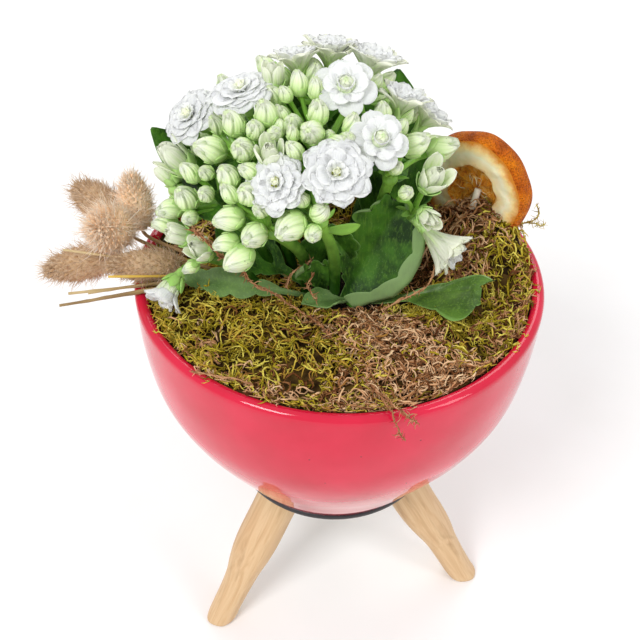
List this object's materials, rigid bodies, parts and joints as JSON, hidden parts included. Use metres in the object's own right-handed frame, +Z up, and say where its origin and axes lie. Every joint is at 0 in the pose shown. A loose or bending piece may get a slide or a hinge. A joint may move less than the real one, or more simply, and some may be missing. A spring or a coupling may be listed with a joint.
{
  "type": "potted kalanchoe",
  "caption": "White double-flowered kalanchoe in a round red glazed bowl on wooden tripod legs, dressed with moss, bunny-tail grass and a dried orange slice.",
  "frame": {"origin": "on the ground, under the middle of the whole object's box", "axes": "+Z up, -Y towards the viewer, +X to the right, where the orange slice stands; the grass tails lean out over the rim on -X"},
  "size_m": [0.1966, 0.16, 0.2637],
  "materials": {
    "red_glaze": "gloss",
    "black_disc": "satin",
    "pale_wood": "satin",
    "screw_steel": "satin",
    "potting_soil": "matte",
    "green_moss": "matte",
    "brown_moss": "matte",
    "stem_green": "satin",
    "leaf_green": "satin",
    "pale_leaf": "satin",
    "petal_white": "matte",
    "grass_beige": "matte",
    "straw": "satin",
    "dried_peel": "matte",
    "pale_pick": "satin"
  },
  "bodies": {
    "root": {"bowl": "red_glaze", "screw_leg_left": "screw_steel", "screw_leg_right": "screw_steel", "screw_leg_back": "screw_steel", "mounting_disc": "black_disc", "leg_left": "pale_wood", "leg_right": "pale_wood", "leg_back": "pale_wood", "bloom_left_side": "petal_white", "bloom_left_top": "petal_white", "bloom_front_right": "petal_white", "bloom_front_left": "petal_white", "bloom_top": "petal_white", "bloom_right": "petal_white", "bloom_right_side": "petal_white", "bloom_right_outer": "petal_white", "bloom_top_left": "petal_white", "bloom_top_middle": "petal_white", "bloom_top_right": "petal_white", "bloom_back": "petal_white", "bloom_back_left": "petal_white", "bloom_back_right": "petal_white", "bloom_low_right": "petal_white", "spray_left_top": "stem_green", "spray_left": "stem_green", "spray_front_left": "stem_green", "spray_front": "stem_green", "spray_middle": "stem_green", "spray_right": "stem_green", "spray_right_low": "stem_green", "spray_low_left": "stem_green", "spray_back": "stem_green", "spray_back_left": "stem_green", "spray_back_right": "stem_green", "leaf_front_big": "leaf_green", "leaf_front_low": "pale_leaf", "leaf_right": "leaf_green", "leaf_left_low": "pale_leaf", "leaf_left_middle": "leaf_green", "leaf_front_notched": "leaf_green", "leaf_inner": "leaf_green", "leaf_tall_right": "leaf_green", "leaf_inner_right": "leaf_green", "leaf_left_tip": "leaf_green", "leaf_left_back": "leaf_green", "leaf_back": "leaf_green", "leaf_back_right": "leaf_green", "tail_back": "grass_beige", "tail_upright": "grass_beige", "tail_facing": "grass_beige", "tail_low": "grass_beige", "tail_on_rim": "grass_beige", "grass_straws": "straw", "orange_slice": "dried_peel", "orange_pick": "pale_pick", "moss_left": "green_moss", "moss_front": "brown_moss", "moss_right": "green_moss", "moss_back_right": "brown_moss", "soil": "potting_soil"}
  },
  "joints": []
}
